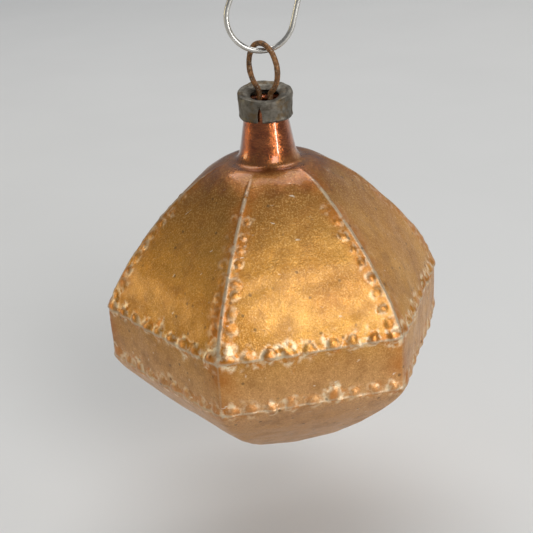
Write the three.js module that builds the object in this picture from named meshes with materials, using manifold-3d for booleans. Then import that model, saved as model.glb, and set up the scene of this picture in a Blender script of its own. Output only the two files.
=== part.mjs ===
// A six-sided blown-glass tree ornament with its tin cap, wire loop and S-shaped tree hook.
//
// Millimetres, +Z up. The origin is the point that a branch carries, at the top of the inside of the
// hook's upper bow. The hook lies in the XZ plane, and everything else hangs below it on the Z axis.

import * as THREE from "three";
import { mergeVertices } from "three/addons/utils/BufferGeometryUtils.js";
import Module from "manifold-3d";

// ---------------------------------------------------------------- driving dimensions

const GAP = 0.3; // clearance between pieces that touch

// Glass body, measured from the plane of the upper edge of its band.
const CORNER_RADIUS = 32; // axis to a corner of the band
const BAND_HEIGHT = 9.8;
const WALL = 0.6;
const BODY_TURN = 10.94; // degrees from +X to the first corner
const SHOULDER_RADIUS = 7; // where the crown turns up into the neck
const SHOULDER_HEIGHT = 24.9;
const NECK_FOOT_RADIUS = 4.85; // the neck's straight part starts here
const NECK_FOOT_HEIGHT = 27.6;
const NECK_RADIUS = 3.95; // at the lower edge of the cap
const NECK_TOP_RADIUS = 3.75;
const NECK_TOP_HEIGHT = 35.8;
const TIP_DEPTH = 33.3;
const FULL_FACET_RADIUS = 0.6 * CORNER_RADIUS; // outside this radius the sides are fully formed
const PANEL_FLATNESS = 0.88; // 1 is a flat side, 0 a round one
const BAND_FLATNESS = 0.96;
const GLASS_SIDES = 36; // facets round the glass, six to each of its six sides

// Cap.
const TIN = 0.35;
const CAP_RADIUS = 4.9;
const CAP_MOUTH_RADIUS = 4.6;
const CAP_FOOT_HEIGHT = 32.65;
const CAP_TOP_HEIGHT = 37.2;
const CAP_HOLE_RADIUS = 2.5;
const CAP_LEAN = 8; // degrees that the top leans to the front
const SLIT_WIDTH = 0.9;
const SLIT_HEIGHT = 3;
const SLIT_COUNT = 4;
const SLIT_TURN = -103; // degrees from +X to the front slit

// Wire loop.
const LOOP_WIRE_RADIUS = 0.48;
const LOOP_RADIUS = 4.3; // centre line of the eye
const LOOP_CENTRE_HEIGHT = 41.2;
const LOOP_TURN = -55.9; // degrees from the hook's plane
const LEG_SPACING = 1.7; // axis to a leg, where it goes through the cap
const FOOT_SPACING = 2.3; // axis to a leg, down in the neck
const LEG_END_HEIGHT = 23.5;

// Tree hook.
const HOOK_WIRE_RADIUS = 0.47;
const HOOK_HEIGHT = 48; // centre line, top of the upper bow to bottom of the lower bow
const UPPER_BOW_RADIUS = 7.5;
const LOWER_BOW_RADIUS = 5.7;
const UPPER_BOW_END = 205; // degrees, where the upper bow's free end stops
const LOWER_BOW_END = -15; // degrees, where the lower bow runs into its straight free end
const FREE_END_LENGTH = 8;

const HOOK_BOTTOM = HOOK_WIRE_RADIUS - HOOK_HEIGHT; // centre line of the lower bow's lowest point
const LOOP_TOP_HEIGHT = LOOP_CENTRE_HEIGHT + LOOP_RADIUS;
const WIRE_STACK = HOOK_WIRE_RADIUS + LOOP_WIRE_RADIUS + GAP;
const GLASS_Z = HOOK_BOTTOM + WIRE_STACK - LOOP_TOP_HEIGHT; // where the glass's own zero plane hangs

const radians = THREE.MathUtils.degToRad;
const wasm = await Module();
wasm.setup();

// ---------------------------------------------------------------- solids

// A closed mesh as a solid that can be cut.
function solid(geometry) {
  const bare = geometry.clone();
  bare.deleteAttribute("normal");
  bare.deleteAttribute("uv");
  const merged = mergeVertices(bare, 1e-4);
  return new wasm.Manifold(
    new wasm.Mesh({
      numProp: 3,
      vertProperties: merged.attributes.position.array,
      triVerts: new Uint32Array(merged.index.array),
    }),
  );
}

function geometryOf(manifold) {
  const mesh = manifold.getMesh();
  const geometry = new THREE.BufferGeometry();
  geometry.setAttribute("position", new THREE.BufferAttribute(mesh.vertProperties, 3));
  geometry.setIndex(new THREE.BufferAttribute(mesh.triVerts, 1));
  geometry.computeVertexNormals();
  return geometry;
}

// Turns a profile of (radius, height) points about the Z axis.
function lathe(profile, sides, turn = 0) {
  return new THREE.LatheGeometry(profile, sides).rotateX(Math.PI / 2).rotateZ(turn);
}

// A wire's centre line in the XZ plane, drawn as a flat path of (x, z).
class FlatWire extends THREE.Curve {
  constructor(path) {
    super();
    this.path = path;
  }
  getPoint(t, target = new THREE.Vector3()) {
    const p = this.path.getPointAt(t);
    return target.set(p.x, 0, p.y);
  }
}

function wire(path, radius, sides, steps) {
  const section = new THREE.Shape().absarc(0, 0, radius, 0, 2 * Math.PI);
  return new THREE.ExtrudeGeometry(section, {
    extrudePath: new FlatWire(path),
    steps,
    curveSegments: sides / 2,
  });
}

// ---------------------------------------------------------------- glass body

// Outline of a rib, from the tip at the bottom, round the band and up to the top of the neck.
function ribProfile() {
  const R = CORNER_RADIUS;
  const underside = new THREE.CubicBezierCurve(
    new THREE.Vector2(0, -TIP_DEPTH),
    new THREE.Vector2(0.38 * R, -TIP_DEPTH),
    new THREE.Vector2(1.05 * R, -1.17 * BAND_HEIGHT),
    new THREE.Vector2(R, -BAND_HEIGHT),
  );
  const crown = new THREE.CubicBezierCurve(
    new THREE.Vector2(R, 0),
    new THREE.Vector2(0.846 * R, 0.506 * SHOULDER_HEIGHT),
    new THREE.Vector2(0.352 * R, 1.01 * SHOULDER_HEIGHT),
    new THREE.Vector2(SHOULDER_RADIUS, SHOULDER_HEIGHT),
  );
  const neck = new THREE.CubicBezierCurve(
    new THREE.Vector2(SHOULDER_RADIUS, SHOULDER_HEIGHT),
    new THREE.Vector2(SHOULDER_RADIUS - 1.4, SHOULDER_HEIGHT),
    new THREE.Vector2(NECK_FOOT_RADIUS + 0.3, SHOULDER_HEIGHT + 1),
    new THREE.Vector2(NECK_FOOT_RADIUS, NECK_FOOT_HEIGHT),
  );
  return [
    ...underside.getPoints(14),
    ...crown.getPoints(11),
    ...neck.getPoints(3).slice(1),
    new THREE.Vector2(NECK_RADIUS, CAP_FOOT_HEIGHT),
    new THREE.Vector2(NECK_TOP_RADIUS, NECK_TOP_HEIGHT),
  ];
}

// The same outline, one wall thickness further in.
function insideOf(profile) {
  const side = (a, b) => new THREE.Vector2(b.y - a.y, a.x - b.x).normalize();
  return profile.map((p, i) => {
    if (i === 0) return new THREE.Vector2(0, p.y + WALL);
    const below = side(profile[i - 1], p);
    const above = i + 1 < profile.length ? side(p, profile[i + 1]) : new THREE.Vector2(1, 0);
    const out = below.clone().add(above).normalize();
    const inner = p.clone().addScaledVector(out, -WALL / out.dot(below));
    if (i + 1 === profile.length) inner.y = p.y;
    return inner;
  });
}

// How flat the six sides are at a point of the outline.
function flatness(radius, height) {
  if (height > NECK_FOOT_HEIGHT) return 0;
  const start = height > 0 ? SHOULDER_RADIUS : 0;
  const formed = THREE.MathUtils.smoothstep(radius, start, FULL_FACET_RADIUS);
  const onBand = THREE.MathUtils.smoothstep(radius, 0.85 * CORNER_RADIUS, 0.97 * CORNER_RADIUS);
  return formed * THREE.MathUtils.lerp(PANEL_FLATNESS, BAND_FLATNESS, onBand);
}

function glassBody() {
  const outer = ribProfile();
  const profile = [...outer, ...insideOf(outer).reverse()];
  const geometry = lathe(profile, GLASS_SIDES);
  const position = geometry.attributes.position;
  for (let i = 0; i < position.count; i++) {
    const x = position.getX(i);
    const y = position.getY(i);
    const fromMiddle = THREE.MathUtils.euclideanModulo(Math.atan2(y, x), Math.PI / 3) - Math.PI / 6;
    const flatSide = Math.cos(Math.PI / 6) / Math.cos(fromMiddle);
    const k = 1 - (1 - flatSide) * flatness(Math.hypot(x, y), position.getZ(i));
    position.setXY(i, x * k, y * k);
  }
  return geometry.rotateZ(radians(BODY_TURN));
}

// ---------------------------------------------------------------- cap

// Leans the top of the cap to the front and leaves its mouth level.
function lean(geometry) {
  const position = geometry.attributes.position;
  for (let i = 0; i < position.count; i++) {
    const z = position.getZ(i);
    const share = THREE.MathUtils.smoothstep(z, CAP_FOOT_HEIGHT, CAP_TOP_HEIGHT - 1);
    position.setZ(i, z + share * position.getY(i) * Math.tan(radians(CAP_LEAN)));
  }
  return geometry;
}

// A slit is a tall wedge, pointed at the top and open at the mouth.
function slitCutter(turn) {
  const below = 1;
  const outline = new THREE.Shape();
  outline.moveTo(-SLIT_WIDTH / 2, -below);
  outline.lineTo(SLIT_WIDTH / 2, -below);
  outline.lineTo(SLIT_WIDTH / 2, 0.6 * SLIT_HEIGHT);
  outline.lineTo(0, SLIT_HEIGHT);
  outline.lineTo(-SLIT_WIDTH / 2, 0.6 * SLIT_HEIGHT);
  outline.closePath();
  const cutter = new THREE.ExtrudeGeometry(outline, { depth: 3, bevelEnabled: false });
  cutter.rotateX(Math.PI / 2).translate(0, CAP_RADIUS + 1, CAP_FOOT_HEIGHT);
  return cutter.rotateZ(turn - Math.PI / 2);
}

function tinCap() {
  const rim = CAP_TOP_HEIGHT;
  const profile = [
    [CAP_MOUTH_RADIUS, CAP_FOOT_HEIGHT],
    [CAP_RADIUS, rim - 0.5],
    [CAP_RADIUS - 0.15, rim - 0.1],
    [CAP_RADIUS - 0.5, rim],
    [CAP_RADIUS - 1.6, rim - 0.3],
    [CAP_HOLE_RADIUS, rim - 0.65],
    [CAP_HOLE_RADIUS, rim - 0.65 - TIN],
    [CAP_RADIUS - 1.6, rim - 0.3 - TIN],
    [CAP_RADIUS - 0.6, rim - TIN],
    [CAP_RADIUS - TIN, rim - 0.5 - TIN],
    [CAP_MOUTH_RADIUS - TIN, CAP_FOOT_HEIGHT],
    [CAP_MOUTH_RADIUS, CAP_FOOT_HEIGHT],
  ].map(([r, z]) => new THREE.Vector2(r, z));
  let cap = solid(lean(lathe(profile, 40)));
  for (let i = 0; i < SLIT_COUNT; i++) {
    const turn = radians(SLIT_TURN + (i * 360) / SLIT_COUNT);
    cap = cap.subtract(solid(slitCutter(turn)));
  }
  return geometryOf(cap);
}

// ---------------------------------------------------------------- wires

// One wire: up from the left foot, through the cap, round the eye and down to the right foot.
function loopPath() {
  const eyeEnd = radians(-58); // the eye opens below this angle
  const x = LOOP_RADIUS * Math.cos(eyeEnd);
  const z = LOOP_CENTRE_HEIGHT + LOOP_RADIUS * Math.sin(eyeEnd);
  const hole = CAP_TOP_HEIGHT - 0.65;
  const bend = new THREE.Vector2(LEG_SPACING, hole + 0.55);
  const path = new THREE.Path();
  path.moveTo(-FOOT_SPACING, LEG_END_HEIGHT);
  path.lineTo(-FOOT_SPACING, hole - 5);
  path.bezierCurveTo(-FOOT_SPACING, hole - 2.5, -LEG_SPACING, hole - 2.5, -LEG_SPACING, hole - 0.4);
  path.bezierCurveTo(-bend.x, bend.y, -bend.x - 0.2, bend.y + 0.15, -x, z);
  path.absarc(0, LOOP_CENTRE_HEIGHT, LOOP_RADIUS, Math.PI - eyeEnd, eyeEnd, true);
  path.bezierCurveTo(bend.x + 0.2, bend.y + 0.15, bend.x, bend.y, LEG_SPACING, hole - 0.4);
  path.bezierCurveTo(LEG_SPACING, hole - 2.5, FOOT_SPACING, hole - 2.5, FOOT_SPACING, hole - 5);
  path.lineTo(FOOT_SPACING, LEG_END_HEIGHT);
  return path;
}

// Two bows joined by a slanting shank, which runs along the circles' common inner tangent.
function hookPath() {
  const upper = HOOK_WIRE_RADIUS - UPPER_BOW_RADIUS;
  const lower = HOOK_BOTTOM + LOWER_BOW_RADIUS;
  const slant = Math.asin((UPPER_BOW_RADIUS + LOWER_BOW_RADIUS) / (upper - lower));
  const end = radians(LOWER_BOW_END);
  const path = new THREE.Path();
  path.absarc(0, upper, UPPER_BOW_RADIUS, radians(UPPER_BOW_END), -slant, true);
  path.absarc(0, lower, LOWER_BOW_RADIUS, Math.PI - slant, 2 * Math.PI + end, false);
  path.lineTo(
    LOWER_BOW_RADIUS * Math.cos(end) - FREE_END_LENGTH * Math.sin(end),
    lower + LOWER_BOW_RADIUS * Math.sin(end) + FREE_END_LENGTH * Math.cos(end),
  );
  return path;
}

// ---------------------------------------------------------------- assembly

function named(name, geometry, color, roughness, metalness) {
  const material = new THREE.MeshStandardMaterial({ color, roughness, metalness });
  const mesh = new THREE.Mesh(geometry, material);
  mesh.name = name;
  return mesh;
}

const hook = named("tree_hook", wire(hookPath(), HOOK_WIRE_RADIUS, 10, 84), 0xb9b5ab, 0.3, 1);
const glass = named("glass_body", glassBody(), 0xb37a35, 0.3, 0.6);
const cap = named("tin_cap", tinCap(), 0x77736a, 0.6, 0.8);
const loop = named("wire_loop", wire(loopPath(), LOOP_WIRE_RADIUS, 8, 110), 0x6e4a28, 0.7, 0.6);
loop.rotation.z = radians(LOOP_TURN);

const hanging = new THREE.Group();
hanging.position.z = GLASS_Z;
hanging.add(glass, cap, loop);

const ornament = new THREE.Group();
ornament.add(hook, hanging);

export default ornament;
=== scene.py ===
"""A six-sided blown-glass tree ornament: beaded, gold-lacquered glass, a tin cap, a wire loop and a hook.

The sizes below are in millimetres. Heights are measured from the plane of the upper edge of the glass's
band, which GLASS_Z places in the row frame. The shapes are made in millimetres and scaled to metres as
each mesh is made.
"""

import math

import bmesh
import bpy
import numpy as np
from mathutils import Matrix, Vector


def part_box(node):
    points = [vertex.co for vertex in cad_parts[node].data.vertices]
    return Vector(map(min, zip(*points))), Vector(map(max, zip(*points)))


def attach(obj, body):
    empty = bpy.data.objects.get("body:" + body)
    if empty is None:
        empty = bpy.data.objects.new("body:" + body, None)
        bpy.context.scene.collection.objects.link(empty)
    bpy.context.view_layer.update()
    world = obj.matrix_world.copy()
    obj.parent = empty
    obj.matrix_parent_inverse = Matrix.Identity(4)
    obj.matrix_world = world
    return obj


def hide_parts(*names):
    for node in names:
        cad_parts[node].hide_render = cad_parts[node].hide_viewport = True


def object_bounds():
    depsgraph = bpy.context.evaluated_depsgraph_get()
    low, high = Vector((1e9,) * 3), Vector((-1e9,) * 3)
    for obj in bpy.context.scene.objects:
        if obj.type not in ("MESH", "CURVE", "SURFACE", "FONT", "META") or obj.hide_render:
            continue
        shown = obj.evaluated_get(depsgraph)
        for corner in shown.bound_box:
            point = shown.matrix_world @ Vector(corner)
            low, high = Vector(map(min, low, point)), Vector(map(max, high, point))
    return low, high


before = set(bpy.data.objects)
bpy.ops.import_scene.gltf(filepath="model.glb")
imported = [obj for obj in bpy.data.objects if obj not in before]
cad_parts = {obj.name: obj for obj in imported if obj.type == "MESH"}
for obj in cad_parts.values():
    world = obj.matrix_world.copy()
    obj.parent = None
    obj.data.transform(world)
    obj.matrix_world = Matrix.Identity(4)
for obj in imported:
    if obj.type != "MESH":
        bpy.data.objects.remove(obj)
cad_low, cad_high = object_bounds()

MM = 0.001
rng = np.random.default_rng(7)

# ---------------------------------------------------------------- sizes

CORNER_RADIUS = 32.0
BAND_HEIGHT = 9.8
WALL = 0.6
FIRST_CORNER = math.radians(10.94)
SIXTH = math.radians(60)
SHOULDER_RADIUS = 7.0
SHOULDER_HEIGHT = 24.9
NECK_FOOT = (4.85, 27.6)
NECK_AT_CAP = (3.95, 32.65)
NECK_RIM = (3.75, 35.8)
TIP_DEPTH = 33.3
FULL_FACET_RADIUS = 0.6 * CORNER_RADIUS
PANEL_FLATNESS = 0.88
BAND_FLATNESS = 0.96
CORNER_SOFTNESS = math.radians(1.1)

RIB_WIDTH = 0.4  # half width of the mould ridge along a rib
EDGE_WIDTH = 0.34  # half width of the one along each edge of the band
STAIN_WIDTH = 2.4  # half width of the stain beside a rib

BEADS = 9  # up each side of a rib, and along a side of the band
FIRST_BEAD = 2.9  # from the band up to a rib's first bead
BEAD_PITCH = 2.75
BEAD_INSET = 1.3  # from the rib's ridge to the beads' centres
BEAD_SCATTER = 0.19
EDGE_OFFSET = 0.5  # from an edge of the band up to its beads' centres
RIB_BEAD = (1.15, 0.33)  # radius and rise
UPPER_BEAD = (1.4, 0.45)
LOWER_BEAD = (1.3, 0.34)
# how boldly the beads came out of the mould up the first and the second rib of each side
RIB_RELIEF = ((0.7, 0.8), (0.8, 0.7), (0.7, 0.7), (0.95, 0.6), (1.0, 1.0), (0.25, 0.7))

TIN = 0.35
CAP_RADIUS = 4.9
CAP_MOUTH_RADIUS = 4.6
CAP_FOOT = 32.65
CAP_TOP = 37.2
CAP_HOLE_RADIUS = 2.5
HOLE_DROP = 0.65  # from the cap's top down to its hole
CAP_LEAN = math.radians(8)
SLIT_WIDTH = 0.9
SLIT_HEIGHT = 3.0
SLITS = 4
SLIT_TURN = math.radians(-103)

LOOP_WIRE = 0.48
LOOP_RADIUS = 4.3
LOOP_CENTRE = 41.2
LOOP_TURN = math.radians(-55.9)
EYE_OPENING = -58  # degrees, below which the eye runs into its legs
LEG_SPACING = 1.7
FOOT_SPACING = 2.3
LEG_END = 23.5

HOOK_WIRE = 0.47
HOOK_HEIGHT = 48.0
UPPER_BOW = 7.5
LOWER_BOW = 5.7
UPPER_BOW_END = 205  # degrees, where the upper bow's free end stops
LOWER_BOW_END = -15  # degrees, where the lower bow runs into its straight free end
FREE_END = 8.0

GLASS_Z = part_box("glass_body")[1].z / MM - NECK_RIM[1]
HOOK_TOP_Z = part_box("tree_hook")[1].z / MM - HOOK_WIRE  # centre line of the upper bow's top


# ---------------------------------------------------------------- camera


def add_camera():
    """Looks down at the glass from the front, tilted a little to one side."""
    distance = 190.7
    elevation = math.radians(25.73)
    roll = math.radians(3.62)
    band_centre = Vector((0, 0, GLASS_Z))
    aim = band_centre + Vector((-1.57, 1.33, 2.83))
    eye = band_centre + distance * Vector((0, -math.cos(elevation), math.sin(elevation)))
    data = bpy.data.cameras.new("camera")
    data.sensor_width = 36
    data.lens = 67.7
    data.clip_start = 0.005
    camera = bpy.data.objects.new("camera", data)
    bpy.context.scene.collection.objects.link(camera)
    turn = (aim - eye).to_track_quat("-Z", "Y").to_matrix().to_4x4()
    camera.matrix_world = Matrix.Translation(eye * MM) @ turn @ Matrix.Rotation(-roll, 4, "Z")
    bpy.context.scene.camera = camera


# ---------------------------------------------------------------- meshes


def add_object(name, vertices, faces, body, slot, material, node):
    """A smooth-shaded piece, from millimetres, that rides on a body and stands for a CAD node."""
    mesh = bpy.data.meshes.new(name)
    mesh.from_pydata((np.asarray(vertices) * MM).tolist(), [], faces)
    mesh.materials.append(material)
    for polygon in mesh.polygons:
        polygon.use_smooth = True
    piece = bpy.data.objects.new(name, mesh)
    bpy.context.scene.collection.objects.link(piece)
    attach(piece, body)
    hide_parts(node)
    return piece


def grid_faces(rows, columns, first=0):
    """Quads over rows of vertices that wrap round."""
    faces = []
    for i in range(rows - 1):
        for j in range(columns):
            k = (j + 1) % columns
            a = first + i * columns
            faces.append((a + j, a + k, a + columns + k, a + columns + j))
    return faces


def bezier(points, count):
    p = [np.array(point, float) for point in points]
    t = np.linspace(0, 1, count)[:, None]
    return (1 - t) ** 3 * p[0] + 3 * (1 - t) ** 2 * t * p[1] + 3 * (1 - t) * t**2 * p[2] + t**3 * p[3]


def line(a, b, count):
    return np.linspace(np.array(a, float), np.array(b, float), count)


def smoothstep(x, low, high):
    t = np.clip((x - low) / (high - low), 0, 1)
    return t * t * (3 - 2 * t)


def grid_normals(points):
    """Outward unit normals of a (rows, columns, 3) grid that runs up and anticlockwise."""
    along = np.gradient(points, axis=0)
    around = np.roll(points, -1, axis=1) - np.roll(points, 1, axis=1)
    normals = np.cross(around, along)
    return normals / np.maximum(np.linalg.norm(normals, axis=2, keepdims=True), 1e-12)


def waves(points, size, seed, count=24):
    """Smooth pseudo-random waves about -1 to 1 over points, with features of about this size."""
    source = np.random.default_rng(seed)
    total = np.zeros(points.shape[:-1])
    for _ in range(count):
        direction = source.normal(size=3)
        direction *= source.uniform(0.5, 1.3) / np.linalg.norm(direction)
        total += np.sin(2 * math.pi * (points @ direction) / size + source.uniform(0, 2 * math.pi))
    return total / math.sqrt(count)


# ---------------------------------------------------------------- glass


def crown_outline(count):
    """Radius and height of the rib over the upper half, from the band up to the shoulder."""
    radius, height = CORNER_RADIUS, SHOULDER_HEIGHT
    low_handle = (0.846 * radius, 0.506 * height)
    high_handle = (0.352 * radius, 1.01 * height)
    return bezier([(radius, 0), low_handle, high_handle, (SHOULDER_RADIUS, height)], count)


def rib_outline(dense):
    """Radius and height up a rib, from near the tip to the neck's rim. Dense is for the outer skin."""
    radius, height = CORNER_RADIUS, SHOULDER_HEIGHT
    count = (64, 34, 118, 8, 30) if dense else (14, 5, 14, 4, 6)
    tip_handle = (0.38 * radius, -TIP_DEPTH)
    band_handle = (1.05 * radius, -1.17 * BAND_HEIGHT)
    underside = bezier([(0, -TIP_DEPTH), tip_handle, band_handle, (radius, -BAND_HEIGHT)], count[0])
    band = line((radius, -BAND_HEIGHT), (radius, 0), count[1])
    fillet = bezier([(SHOULDER_RADIUS, height), (5.6, height), (5.15, height + 1), NECK_FOOT], count[3])
    neck = np.vstack([line(NECK_FOOT, NECK_AT_CAP, count[4]), line(NECK_AT_CAP, NECK_RIM, 4)[1:]])
    return np.vstack([underside[1:], band[1:], crown_outline(count[2])[1:], fillet[1:], neck[1:]])


def flatness(radius, height):
    """How flat the six sides are at a point of the outline, from 0, round, to 1, flat."""
    start = np.where(height > 0, SHOULDER_RADIUS, 0)
    formed = smoothstep(radius, start, FULL_FACET_RADIUS)
    on_band = smoothstep(radius, 0.85 * CORNER_RADIUS, 0.97 * CORNER_RADIUS)
    flat = formed * (PANEL_FLATNESS + (BAND_FLATNESS - PANEL_FLATNESS) * on_band)
    return np.where(height > NECK_FOOT[1], 0, flat)


def from_corner(angle):
    """Angle to the nearest corner."""
    return SIXTH / 2 - np.abs(np.mod(angle, SIXTH) - SIXTH / 2)


def surface(radius, height, angle):
    """Point of the six-sided skin over a rib's radius and height, at an angle from the first corner."""
    near = np.sqrt(from_corner(angle) ** 2 + CORNER_SOFTNESS**2)
    flat_side = math.cos(SIXTH / 2) / np.cos(SIXTH / 2 - near)
    r = radius * (1 - (1 - flat_side) * flatness(radius, height))
    turn = angle + FIRST_CORNER
    return np.stack([r * np.cos(turn), r * np.sin(turn), height + 0 * turn], axis=-1)


def along_crown(distances):
    """Radius and height of the rib at these distances up from the band."""
    crown = crown_outline(400)
    length = np.concatenate([[0], np.cumsum(np.linalg.norm(np.diff(crown, axis=0), axis=1))])
    return [np.interp(distances, length, crown[:, i]) for i in range(2)]


def bead_places():
    """Centre, radius and rise of each bead, up both sides of the ribs and along the band's edges."""
    beads = []

    def add(radius, height, angle, bead, fade=1.0, relief=1.0):
        centre = surface(radius, height, angle) + rng.normal(0, BEAD_SCATTER, 3)
        size = bead[0] * fade * rng.uniform(0.84, 1.16)
        beads.append((centre, size, bead[1] * fade * relief * rng.uniform(0.7, 1.2)))

    for side, (first, second) in enumerate(RIB_RELIEF):
        start = side * SIXTH
        for step in range(BEADS):
            radius, height = along_crown(FIRST_BEAD + BEAD_PITCH * step)
            fade = 1 - 0.05 * step
            turn = BEAD_INSET / radius
            add(radius, height, start + turn, RIB_BEAD, fade, first)
            add(radius, height, start + SIXTH - turn, RIB_BEAD, fade, second)
        for step in range(BEADS):
            share = (step + 0.5) / BEADS
            across = start + SIXTH / 2 + math.atan((2 * share - 1) * math.tan(SIXTH / 2))
            add(*along_crown(EDGE_OFFSET), across, UPPER_BEAD)
            add(CORNER_RADIUS, EDGE_OFFSET - BAND_HEIGHT, across, LOWER_BEAD)
    return beads


def hump(distance, half_width):
    """A smooth ridge that is 1 at its crest."""
    return np.exp(-((distance / half_width) ** 2))


def mould_ridges(radius, height, angle):
    """Shares of the ridge along the ribs, of the one along the band's edges and of the ribs' stain."""
    to_rib = from_corner(angle) * radius
    crown_share = smoothstep(radius, 7, 13) * smoothstep(height, -BAND_HEIGHT - 2, -BAND_HEIGHT)
    rib = hump(to_rib, RIB_WIDTH) * crown_share * (1 - 0.5 * (height < 0))
    edge = 0.8 * hump(height, EDGE_WIDTH) + 0.7 * hump(height + BAND_HEIGHT, EDGE_WIDTH)
    edge = edge * (radius > 0.8 * CORNER_RADIUS) + 0 * angle
    return rib, edge, hump(to_rib, STAIN_WIDTH) * crown_share


def bead_relief(points):
    """Height of the beads' uneven domes, and the share of the crease round their feet."""
    dome = np.zeros(points.shape[:2])
    foot = np.zeros(points.shape[:2])
    uneven_shape = 1 + 0.24 * waves(points, 1.7, 8)
    for centre, size, rise in bead_places():
        t = np.linalg.norm(points - centre, axis=2) / size * uneven_shape
        dome = np.maximum(dome, rise * np.clip(1 - t * t, 0, 1) ** 1.1)
        foot = np.maximum(foot, hump(t - 1, 0.35) * min(1, 2 * rise))
    return dome, foot


def inset(profile, thickness):
    """A (radius, height) profile moved inward by a thickness."""
    slope = np.gradient(profile, axis=0)
    out = np.stack([slope[:, 1], -slope[:, 0]], axis=1)
    return profile - thickness * out / np.linalg.norm(out, axis=1, keepdims=True)


def glass_body(material):
    columns = 600
    outline = rib_outline(dense=True)
    radius, height = outline[:, :1], outline[:, 1:]
    angle = np.linspace(0, 2 * math.pi, columns, endpoint=False)[None, :]
    points = surface(radius, height, angle)
    rib, edge, beside_rib = mould_ridges(radius, height, angle)
    dome, foot = bead_relief(points)

    # the relief of the mould, and the unevenness of hand-blown glass
    wobble = 0.75 + 0.35 * waves(points, 7, 3)
    uneven = 0.1 * waves(points, 16, 5) + 0.035 * waves(points, 4.5, 6)
    lift = (0.2 * rib + 0.1 * edge) * wobble + dome - 0.05 * foot + smoothstep(radius, 5, 12) * uneven
    points = points + grid_normals(points) * lift[..., None]

    inner = inset(rib_outline(dense=False), WALL)
    inner[-1, 1] = NECK_RIM[1]
    inner_points = surface(inner[:, :1], inner[:, 1:], angle)[::-1]

    rows = np.concatenate([points, inner_points])
    count = rows.shape[0]
    vertices = np.vstack([rows.reshape(-1, 3), [[0, 0, -TIP_DEPTH], [0, 0, -TIP_DEPTH + WALL]]])
    vertices[:, 2] += GLASS_Z
    faces = grid_faces(count, columns)
    low_pole, high_pole = count * columns, count * columns + 1
    last = (count - 1) * columns
    for j in range(columns):
        k = (j + 1) % columns
        faces.append((low_pole, k, j))
        faces.append((high_pole, last + j, last + k))
    where = {"body": "glass", "slot": "lacquered_glass", "material": material, "node": "glass_body"}
    piece = add_object("beaded_glass", vertices, faces, **where)

    def store(name, values):
        padded = np.zeros(len(vertices), np.float32)
        padded[: values.size] = values.ravel()
        piece.data.attributes.new(name, "FLOAT", "POINT").data.foreach_set("value", padded)

    store("bead", np.clip(dome / 0.5, 0, 1))
    store("beside_rib", beside_rib)
    store("foot", foot)
    store("ridge", np.clip(rib + edge, 0, 1))
    return piece


# ---------------------------------------------------------------- cap


def lean(points):
    """Leans the cap's top to the front and leaves its mouth level."""
    share = smoothstep(points[..., 2], CAP_FOOT, CAP_TOP - 1)
    points[..., 2] += share * points[..., 1] * math.tan(CAP_LEAN)
    return points


def slit_cutter(turn):
    """A wedge, pointed at the top, that is pushed in through the cap's side."""
    half = SLIT_WIDTH / 2
    waist = 0.55 * SLIT_HEIGHT
    outline = [(-half, -1), (half, -1), (0.9 * half, waist), (0, SLIT_HEIGHT), (-0.9 * half, waist)]
    near, far = CAP_RADIUS - 2.2, CAP_RADIUS + 1
    vertices = []
    for depth in (near, far):
        for across, up in outline:
            x = depth * math.cos(turn) - across * math.sin(turn)
            y = depth * math.sin(turn) + across * math.cos(turn)
            vertices.append((x, y, CAP_FOOT + up))
    n = len(outline)
    faces = [tuple(range(n)), tuple(range(2 * n - 1, n - 1, -1))]
    faces += [(i, i + n, (i + 1) % n + n, (i + 1) % n) for i in range(n)]
    return vertices, faces


def tin_cap(material):
    columns = 160
    top = CAP_TOP
    corners = [
        (CAP_MOUTH_RADIUS, CAP_FOOT),
        (CAP_MOUTH_RADIUS + 0.16, CAP_FOOT + 0.25),
        (CAP_MOUTH_RADIUS + 0.05, CAP_FOOT + 0.75),
        (CAP_RADIUS - 0.1, top - 1.3),
        (CAP_RADIUS, top - 0.75),
        (CAP_RADIUS, top - 0.35),
        (CAP_RADIUS - 0.14, top - 0.06),
        (CAP_RADIUS - 0.4, top),
        (CAP_RADIUS - 0.75, top - 0.06),
        (CAP_RADIUS - 1.15, top - 0.28),
        (CAP_RADIUS - 1.7, top - 0.38),
        (CAP_HOLE_RADIUS + 0.25, top - 0.6),
        (CAP_HOLE_RADIUS, top - 0.78),
    ]
    outer = np.vstack([line(a, b, 5)[:-1] for a, b in zip(corners, corners[1:])] + [[corners[-1]]])
    inner = inset(outer, TIN)
    inner[0, 1] = CAP_FOOT
    profile = np.vstack([outer, inner[::-1]])

    angle = np.linspace(0, 2 * math.pi, columns, endpoint=False)[None, :]
    radius, height = profile[:, :1], profile[:, 1:]
    points = np.stack([radius * np.cos(angle), radius * np.sin(angle), height + 0 * angle], axis=-1)
    dents = 0.07 * waves(points, 4.2, 11) + 0.03 * waves(points, 1.6, 12)
    outward = points * [1, 1, 0] / np.maximum(radius, 1)[..., None]
    on_top = smoothstep(height, top - 1, top - 0.4)
    points = points + outward * np.minimum(dents, 0.1)[..., None]
    points[..., 2] += on_top * dents
    points = lean(points)
    rows = len(profile)
    faces = grid_faces(rows, columns)
    last = (rows - 1) * columns
    faces += [(last + j, last + (j + 1) % columns, (j + 1) % columns, j) for j in range(columns)]
    whole = bpy.data.meshes.new("cap")
    whole.from_pydata(points.reshape(-1, 3).tolist(), [], faces)
    for i in range(SLITS):
        whole = cut(whole, slit_cutter(SLIT_TURN + i * 2 * math.pi / SLITS))
    vertices = np.array([v.co for v in whole.vertices]) + [0, 0, GLASS_Z]
    faces = [tuple(polygon.vertices) for polygon in whole.polygons]
    where = {"body": "cap", "slot": "tin", "material": material, "node": "tin_cap"}
    return add_object("crimped_cap", vertices, faces, **where)


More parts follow.
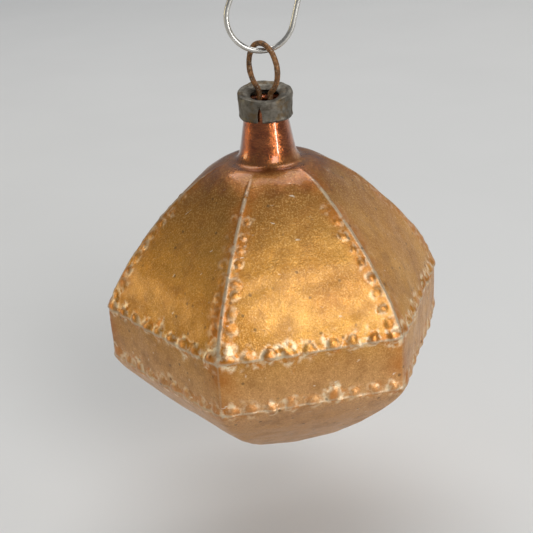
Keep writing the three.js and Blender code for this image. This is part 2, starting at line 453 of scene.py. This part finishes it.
def cut(mesh, cutter):
    """The mesh with a cutter's vertices and faces taken out of it."""
    shaped = bmesh.new()
    cutter_mesh = bpy.data.meshes.new("cutter")
    cutter_mesh.from_pydata(cutter[0], [], cutter[1])
    shaped.from_mesh(cutter_mesh)
    bmesh.ops.recalc_face_normals(shaped, faces=shaped.faces)
    shaped.to_mesh(cutter_mesh)
    shaped.free()
    pair = [bpy.data.objects.new("cut", m) for m in (mesh, cutter_mesh)]
    for item in pair:
        bpy.context.scene.collection.objects.link(item)
    modifier = pair[0].modifiers.new("cut", "BOOLEAN")
    modifier.operation = "DIFFERENCE"
    modifier.solver = "FAST"
    modifier.object = pair[1]
    bpy.context.view_layer.update()
    evaluated = pair[0].evaluated_get(bpy.context.evaluated_depsgraph_get())
    result = bpy.data.meshes.new_from_object(evaluated)
    for item in pair:
        bpy.data.objects.remove(item)
    return result


# ---------------------------------------------------------------- wires


def arc(centre, radius, start, end, count):
    angle = np.radians(np.linspace(start, end, count))
    return np.stack([centre[0] + radius * np.cos(angle), centre[1] + radius * np.sin(angle)], axis=1)


def even_steps(path, step):
    """The same polyline with its points a step apart."""
    length = np.concatenate([[0], np.cumsum(np.linalg.norm(np.diff(path, axis=0), axis=1))])
    at = np.linspace(0, length[-1], int(length[-1] / step))
    return np.stack([np.interp(at, length, path[:, i]) for i in range(path.shape[1])], axis=1)


def loop_path():
    """Up the left leg, round the eye and down the right leg, as (across, height)."""
    x = LOOP_RADIUS * math.cos(math.radians(EYE_OPENING))
    z = LOOP_CENTRE + LOOP_RADIUS * math.sin(math.radians(EYE_OPENING))
    hole = CAP_TOP - HOLE_DROP
    foot, waist = -FOOT_SPACING, -LEG_SPACING
    straight = line((foot, LEG_END), (foot, hole - 5), 20)
    inward = bezier([(foot, hole - 5), (foot, hole - 2.5), (waist, hole - 2.5), (waist, hole - 0.4)], 20)
    outward = bezier([(waist, hole - 0.4), (waist, hole + 0.55), (waist - 0.2, hole + 0.7), (-x, z)], 12)
    leg = np.vstack([straight, inward, outward])
    eye = arc((0, LOOP_CENTRE), LOOP_RADIUS, 180 - EYE_OPENING, EYE_OPENING, 120)
    return np.vstack([leg, eye[1:-1], (leg * [-1, 1])[::-1]])


def hook_path():
    """Two bows joined by a slanting shank, as (x, z) in the row frame."""
    upper = HOOK_TOP_Z - UPPER_BOW
    lower = HOOK_TOP_Z - HOOK_HEIGHT + LOWER_BOW
    slant = math.degrees(math.asin((UPPER_BOW + LOWER_BOW) / (upper - lower)))
    top_bow = arc((0, upper), UPPER_BOW, UPPER_BOW_END, -slant, 120)
    low_bow = arc((0, lower), LOWER_BOW, 180 - slant, 360 + LOWER_BOW_END, 100)
    lean_out = math.radians(-LOWER_BOW_END)
    end = low_bow[-1] + FREE_END * np.array([math.sin(lean_out), math.cos(lean_out)])
    return np.vstack([top_bow, low_bow, [end]])


def wire(name, path, radius, turn, sides, rough, seed, **where):
    """A round wire along a flat path, turned about the Z axis, with an uneven skin and rounded ends."""
    path = even_steps(path, 0.5 * radius)
    tangent = np.gradient(path, axis=0)
    tangent /= np.linalg.norm(tangent, axis=1, keepdims=True)
    side = np.stack([-tangent[:, 1], 0 * tangent[:, 0], tangent[:, 0]], axis=1)
    centre = np.stack([path[:, 0], 0 * path[:, 0], path[:, 1]], axis=1)
    direction = np.stack([tangent[:, 0], 0 * tangent[:, 0], tangent[:, 1]], axis=1)
    ends = [0.35, 0.75, 0.95]
    scale = np.ones(len(path))
    scale[:3] = ends
    scale[-3:] = ends[::-1]
    angle = np.linspace(0, 2 * math.pi, sides, endpoint=False)
    binormal = np.cross(direction, side)
    along_side = side[:, None, :] * np.cos(angle)[:, None]
    offset = along_side + binormal[:, None, :] * np.sin(angle)[:, None]
    spot = centre[:, None, :] + radius * offset
    bumpy = 1 + rough * waves(spot, 6 * radius, seed) + 0.5 * rough * waves(spot, 2.2 * radius, seed + 1)
    points = centre[:, None, :] + offset * (radius * scale[:, None] * bumpy)[..., None]
    rows = len(path)
    vertices = points.reshape(-1, 3) @ np.array(Matrix.Rotation(turn, 3, "Z")).T
    faces = [tuple(reversed(f)) for f in grid_faces(rows, sides)]
    faces.append(tuple(range(sides)))
    faces.append(tuple(range(rows * sides - 1, (rows - 1) * sides - 1, -1)))
    return add_object(name, vertices, faces, **where)


# ---------------------------------------------------------------- materials


class Shader:
    """A material and short calls that add its nodes."""

    def __init__(self, name, **settings):
        self.material = bpy.data.materials.new(name)
        self.material.use_nodes = True
        self.tree = self.material.node_tree
        self.surface = self.tree.nodes["Principled BSDF"]
        for socket, value in settings.items():
            self.surface.inputs[socket.replace("_", " ")].default_value = value
        self.coords = self.tree.nodes.new("ShaderNodeTexCoord").outputs["Object"]

    def node(self, kind, settings=None, **inputs):
        """A node with values or links by its sockets' names, or by their numbers as _0, _1."""
        node = self.tree.nodes.new("ShaderNode" + kind)
        for key, value in (settings or {}).items():
            setattr(node, key, value)
        for key, value in inputs.items():
            socket = node.inputs[int(key[1:]) if key[0] == "_" else key.replace("_", " ")]
            if isinstance(value, bpy.types.NodeSocket):
                self.tree.links.new(value, socket)
            else:
                socket.default_value = value
        return node

    def stretched(self, x, y, z):
        node = self.node("Mapping", Vector=self.coords)
        node.inputs["Scale"].default_value = (x, y, z)
        return node.outputs["Vector"]

    def noise(self, size, detail=3.0, roughness=0.55, coords=None, offset=0.0):
        """Noise from about 0.25 to 0.75 with features of a size in millimetres. Offset moves the pattern."""
        place = coords or self.coords
        if offset:
            shift = (offset, offset, offset)
            place = self.node("VectorMath", {"operation": "ADD"}, _0=place, _1=shift).outputs[0]
        inputs = {"Vector": place, "Scale": 1 / (size * MM), "Detail": detail, "Roughness": roughness}
        return self.node("TexNoise", **inputs).outputs["Fac"]

    def cells(self, size):
        """Distance from the middle of a scattered cell, and the cell's own random colour."""
        node = self.node("TexVoronoi", Vector=self.coords, Scale=1 / (size * MM))
        return node.outputs["Distance"], node.outputs["Color"]

    def span(self, value, low, high, to_low=0.0, to_high=1.0):
        """The value moved from the low-to-high range to another, and kept inside that."""
        inputs = {"Value": value, "From_Min": low, "From_Max": high, "To_Min": to_low, "To_Max": to_high}
        return self.node("MapRange", {"clamp": True}, **inputs).outputs["Result"]

    def math(self, operation, a, b=0.0):
        return self.node("Math", {"operation": operation}, _0=a, _1=b).outputs[0]

    def mix(self, share, a, b):
        node = self.node("Mix", {"data_type": "RGBA"}, Factor=share)
        for socket, value in ((node.inputs[6], a), (node.inputs[7], b)):
            if isinstance(value, bpy.types.NodeSocket):
                self.tree.links.new(value, socket)
            else:
                socket.default_value = (*value, 1)
        return node.outputs[2]

    def attribute(self, name):
        node = self.tree.nodes.new("ShaderNodeAttribute")
        node.attribute_name = name
        return node.outputs["Fac"]

    def axis(self, index):
        node = self.node("SeparateXYZ", Vector=self.coords)
        return node.outputs[index]

    def bump(self, height, distance, strength=1.0, below=None):
        inputs = {"Height": height, "Distance": distance * MM, "Strength": strength}
        if below is not None:
            inputs["Normal"] = below
        return self.node("Bump", **inputs).outputs["Normal"]

    def link(self, **outputs):
        for socket, value in outputs.items():
            self.tree.links.new(value, self.surface.inputs[socket.replace("_", " ")])
        return self.material


def lacquered_glass():
    """Gold lacquer over silvered glass: mottled, speckled, rusty at the beads and pale on the ridges, with
    painted shade at the top, a painted floor reflection low down, a painted warm reflection on the left and
    painted highlights round the beads' feet.
    """
    s = Shader("lacquered_glass", Coat_Roughness=0.12, Coat_IOR=1.5)
    bead, foot = s.attribute("bead"), s.attribute("foot")
    ridge, beside_rib = s.attribute("ridge"), s.attribute("beside_rib")
    x, z = s.axis("X"), s.axis("Z")

    mottle = s.span(s.noise(9, 4), 0.35, 0.65)
    gold = s.mix(mottle, (0.42, 0.18, 0.024), (0.60, 0.30, 0.058))
    # painted reflection: the left side is tinted a more saturated yellow gold, standing in for the warm
    # light it reflects
    left_reflection_tint = s.span(x, 0.004, -0.022)
    gold = s.mix(s.math("MULTIPLY", left_reflection_tint, 0.7), gold, (0.44, 0.19, 0.012))
    # painted reflection: lighter and pinker towards the band and the underside, standing in for the pale
    # floor's reflection
    low = s.span(z, (GLASS_Z + 1) * MM, (GLASS_Z - 11) * MM)
    gold = s.mix(s.math("MULTIPLY", low, 0.8), gold, (0.60, 0.33, 0.16))
    # painted shade: darker brown towards the top of the crown, standing in for the dark surroundings it
    # reflects
    high = s.span(z, (GLASS_Z + 12) * MM, (GLASS_Z + 22) * MM, 0.0, 0.75)
    gold = s.mix(high, gold, (0.20, 0.075, 0.010))

    grain = s.noise(0.3, 2, 0.7)
    gold = s.mix(s.span(grain, 0.47, 0.72, 0.0, 0.5), gold, (0.86, 0.52, 0.19))
    dark_grain = s.span(s.noise(0.36, 2, 0.7, offset=9.0), 0.52, 0.74, 0.0, 0.45)
    gold = s.mix(dark_grain, gold, (0.22, 0.08, 0.012))
    stain = s.math("MULTIPLY", s.span(s.noise(3.2, 3, offset=0.4), 0.5, 0.68), 0.4)
    gold = s.mix(stain, gold, (0.25, 0.10, 0.018))

    amber = s.math("MULTIPLY", beside_rib, s.span(s.noise(4.5, 3, offset=4.2), 0.36, 0.62))
    gold = s.mix(s.math("MULTIPLY", amber, 0.75), gold, (0.42, 0.13, 0.011))
    rust_patches = s.span(s.noise(1.6, 3, offset=0.9), 0.34, 0.54)
    rust = s.math("MULTIPLY", s.math("MAXIMUM", bead, foot), rust_patches)
    gold = s.mix(s.math("MULTIPLY", rust, 0.65), gold, (0.60, 0.19, 0.018))
    # cream rims round the beads' feet: partly worn lacquer, partly painted highlight
    worn_rim_and_highlight = s.math("MULTIPLY", foot, s.span(s.noise(1.2, 2, 0.55, offset=6.1), 0.42, 0.6))
    gold = s.mix(s.math("MULTIPLY", worn_rim_and_highlight, 0.9), gold, (0.92, 0.78, 0.52))

    worn_patches = s.span(s.noise(1.7, 4, 0.7, offset=1.7), 0.34, 0.5)
    worn = s.math("MULTIPLY", s.span(ridge, 0.3, 0.8), worn_patches)
    gold = s.mix(s.math("MULTIPLY", worn, 0.75), gold, (0.56, 0.47, 0.33))

    distance, shade = s.cells(1.9)
    chosen = s.span(s.node("SeparateColor", Color=shade).outputs[0], 0.5, 0.6)
    speck = s.math("MULTIPLY", s.span(distance, 0.2, 0.1), chosen)
    gold = s.mix(s.math("MULTIPLY", speck, 0.6), gold, (0.10, 0.06, 0.025))
    scratch = s.noise(1.1, 2, 0.5, coords=s.stretched(0.35, 1.6, 0.9), offset=3.1)
    gold = s.mix(s.span(scratch, 0.715, 0.76, 0.0, 0.55), gold, (0.82, 0.76, 0.62))

    uneven_z = s.math("ADD", z, s.span(s.noise(3, 2, offset=7.0), 0.3, 0.7, -0.0015, 0.0015))
    neck = s.span(uneven_z, (GLASS_Z + 21.5) * MM, (GLASS_Z + 28) * MM)
    copper = s.mix(s.span(s.noise(1.8, 3), 0.35, 0.7), (0.24, 0.052, 0.010), (0.44, 0.13, 0.035))
    gold = s.mix(neck, gold, copper)

    rough = s.span(s.noise(2.4, 4, 0.65, offset=2.3), 0.3, 0.7, 0.36, 0.54)
    rough = s.math("SUBTRACT", rough, s.math("MULTIPLY", bead, 0.1))
    rough = s.math("SUBTRACT", rough, s.math("MULTIPLY", neck, 0.24))

    normal = s.bump(s.noise(2.6, 3, offset=5.0), 0.2, 0.5)
    normal = s.bump(s.noise(0.7, 3, 0.7, offset=8.0), 0.1, 0.45, below=normal)
    normal = s.bump(grain, 0.09, 0.6, below=normal)
    metal = s.span(neck, 0, 1, 0.7, 0.95)
    coat = s.span(neck, 0, 1, 0.12, 1.0)
    return s.link(Base_Color=gold, Metallic=metal, Roughness=rough, Normal=normal, Coat_Weight=coat)


def tinplate():
    s = Shader("tinplate", Metallic=0.85)
    tin = s.mix(s.span(s.noise(1.6, 4, 0.65), 0.35, 0.65), (0.085, 0.073, 0.056), (0.21, 0.19, 0.155))
    brown = s.span(s.noise(2.4, 3, 0.6, offset=0.7), 0.52, 0.66, 0.0, 0.75)
    tin = s.mix(brown, tin, (0.15, 0.095, 0.04))
    tin = s.mix(s.span(s.noise(0.5, 3, 0.7, offset=1.9), 0.6, 0.72, 0.0, 0.8), tin, (0.05, 0.035, 0.02))
    rough = s.span(s.noise(0.9, 3, offset=2.5), 0.3, 0.7, 0.42, 0.7)
    normal = s.bump(s.noise(0.8, 4, 0.6, offset=3.3), 0.12, 0.5)
    normal = s.bump(s.noise(0.22, 2, 0.6), 0.03, 0.5, below=normal)
    return s.link(Base_Color=tin, Roughness=rough, Normal=normal)


def rusty_wire():
    s = Shader("rusty_wire", Metallic=0.45)
    iron = s.mix(s.span(s.noise(0.9, 4, 0.65), 0.36, 0.62), (0.085, 0.042, 0.019), (0.30, 0.135, 0.045))
    iron = s.mix(s.span(s.noise(0.4, 3, 0.7, offset=1.1), 0.56, 0.7, 0.0, 0.8), iron, (0.52, 0.40, 0.28))
    rough = s.span(s.noise(0.5, 3, offset=2.1), 0.3, 0.7, 0.45, 0.8)
    normal = s.bump(s.noise(0.3, 4, 0.65, offset=0.3), 0.08, 0.8)
    return s.link(Base_Color=iron, Roughness=rough, Normal=normal)


def bright_wire():
    s = Shader("bright_wire", Metallic=1.0)
    steel = s.mix(s.span(s.noise(2.2, 3, 0.6), 0.35, 0.65), (0.50, 0.48, 0.44), (0.66, 0.64, 0.60))
    dull_spots = s.span(s.noise(0.6, 3, 0.7, offset=0.5), 0.64, 0.74, 0.0, 0.6)
    steel = s.mix(dull_spots, steel, (0.22, 0.20, 0.17))
    rough = s.span(s.noise(0.9, 3, offset=1.4), 0.3, 0.7, 0.26, 0.38)
    normal = s.bump(s.noise(2.0, 2, coords=s.stretched(1, 1, 0.4)), 0.02, 0.12)
    return s.link(Base_Color=steel, Roughness=rough, Normal=normal)


def pale_floor():
    s = Shader("pale_floor", Roughness=0.9)
    tone = s.mix(s.noise(60, 2), (0.68, 0.68, 0.67), (0.72, 0.72, 0.71))
    return s.link(Base_Color=tone)


# ---------------------------------------------------------------- studio


def add_floor():
    half = 1.5
    drop = 0.018
    z = cad_low[2] - drop
    mesh = bpy.data.meshes.new("floor")
    corners = [(-half, -half, z), (half, -half, z), (half, half, z), (-half, half, z)]
    mesh.from_pydata(corners, [], [(0, 1, 2, 3)])
    mesh.materials.append(pale_floor())
    floor = bpy.data.objects.new("floor", mesh)
    bpy.context.scene.collection.objects.link(floor)


def add_softbox(name, azimuth, elevation, distance, size, power, colour=(1, 1, 1)):
    """A soft area light aimed at the glass. Azimuth 0 is in front of it, and 90 is to its right."""
    a, e = math.radians(azimuth), math.radians(elevation)
    centre = Vector((0, 0, GLASS_Z * MM))
    way = Vector((math.sin(a) * math.cos(e), -math.cos(a) * math.cos(e), math.sin(e)))
    data = bpy.data.lights.new(name, "AREA")
    data.shape = "RECTANGLE"
    data.size, data.size_y = size
    data.energy = power
    data.color = colour
    light = bpy.data.objects.new(name, data)
    bpy.context.scene.collection.objects.link(light)
    light.location = centre + way * distance
    light.rotation_euler = (-way).to_track_quat("-Z", "Y").to_euler()


def add_studio():
    add_floor()
    warm, pale = (1, 0.84, 0.5), (1, 0.93, 0.8)
    add_softbox("key", 28, 31, distance=0.6, size=(0.24, 0.36), power=1.8)
    add_softbox("strip", 42, -2, distance=0.6, size=(0.04, 0.22), power=1.0)
    add_softbox("left", -101, 8, distance=0.6, size=(0.2, 0.12), power=0.4, colour=warm)
    add_softbox("right", 130, 12, distance=0.7, size=(0.5, 0.4), power=0.42, colour=pale)
    add_softbox("overhead", 180, 66, distance=1.1, size=(1.0, 0.7), power=6.5)
    world = bpy.data.worlds.new("studio")
    world.use_nodes = True
    background = world.node_tree.nodes["Background"]
    background.inputs["Color"].default_value = (0.92, 0.95, 1.0, 1)
    background.inputs["Strength"].default_value = 0.24
    bpy.context.scene.world = world
    bpy.context.scene.view_settings.view_transform = "Standard"


# ---------------------------------------------------------------- the object

add_camera()
glass_body(lacquered_glass())
tin_cap(tinplate())
wire(
    "rusty_loop",
    loop_path() + [0, GLASS_Z],
    radius=LOOP_WIRE,
    turn=LOOP_TURN,
    sides=20,
    rough=0.05,
    seed=21,
    body="loop",
    slot="iron_wire",
    material=rusty_wire(),
    node="wire_loop",
)
wire(
    "bright_hook",
    hook_path(),
    radius=HOOK_WIRE,
    turn=0,
    sides=24,
    rough=0.003,
    seed=31,
    body="hook",
    slot="bright_wire",
    material=bright_wire(),
    node="tree_hook",
)
add_studio()
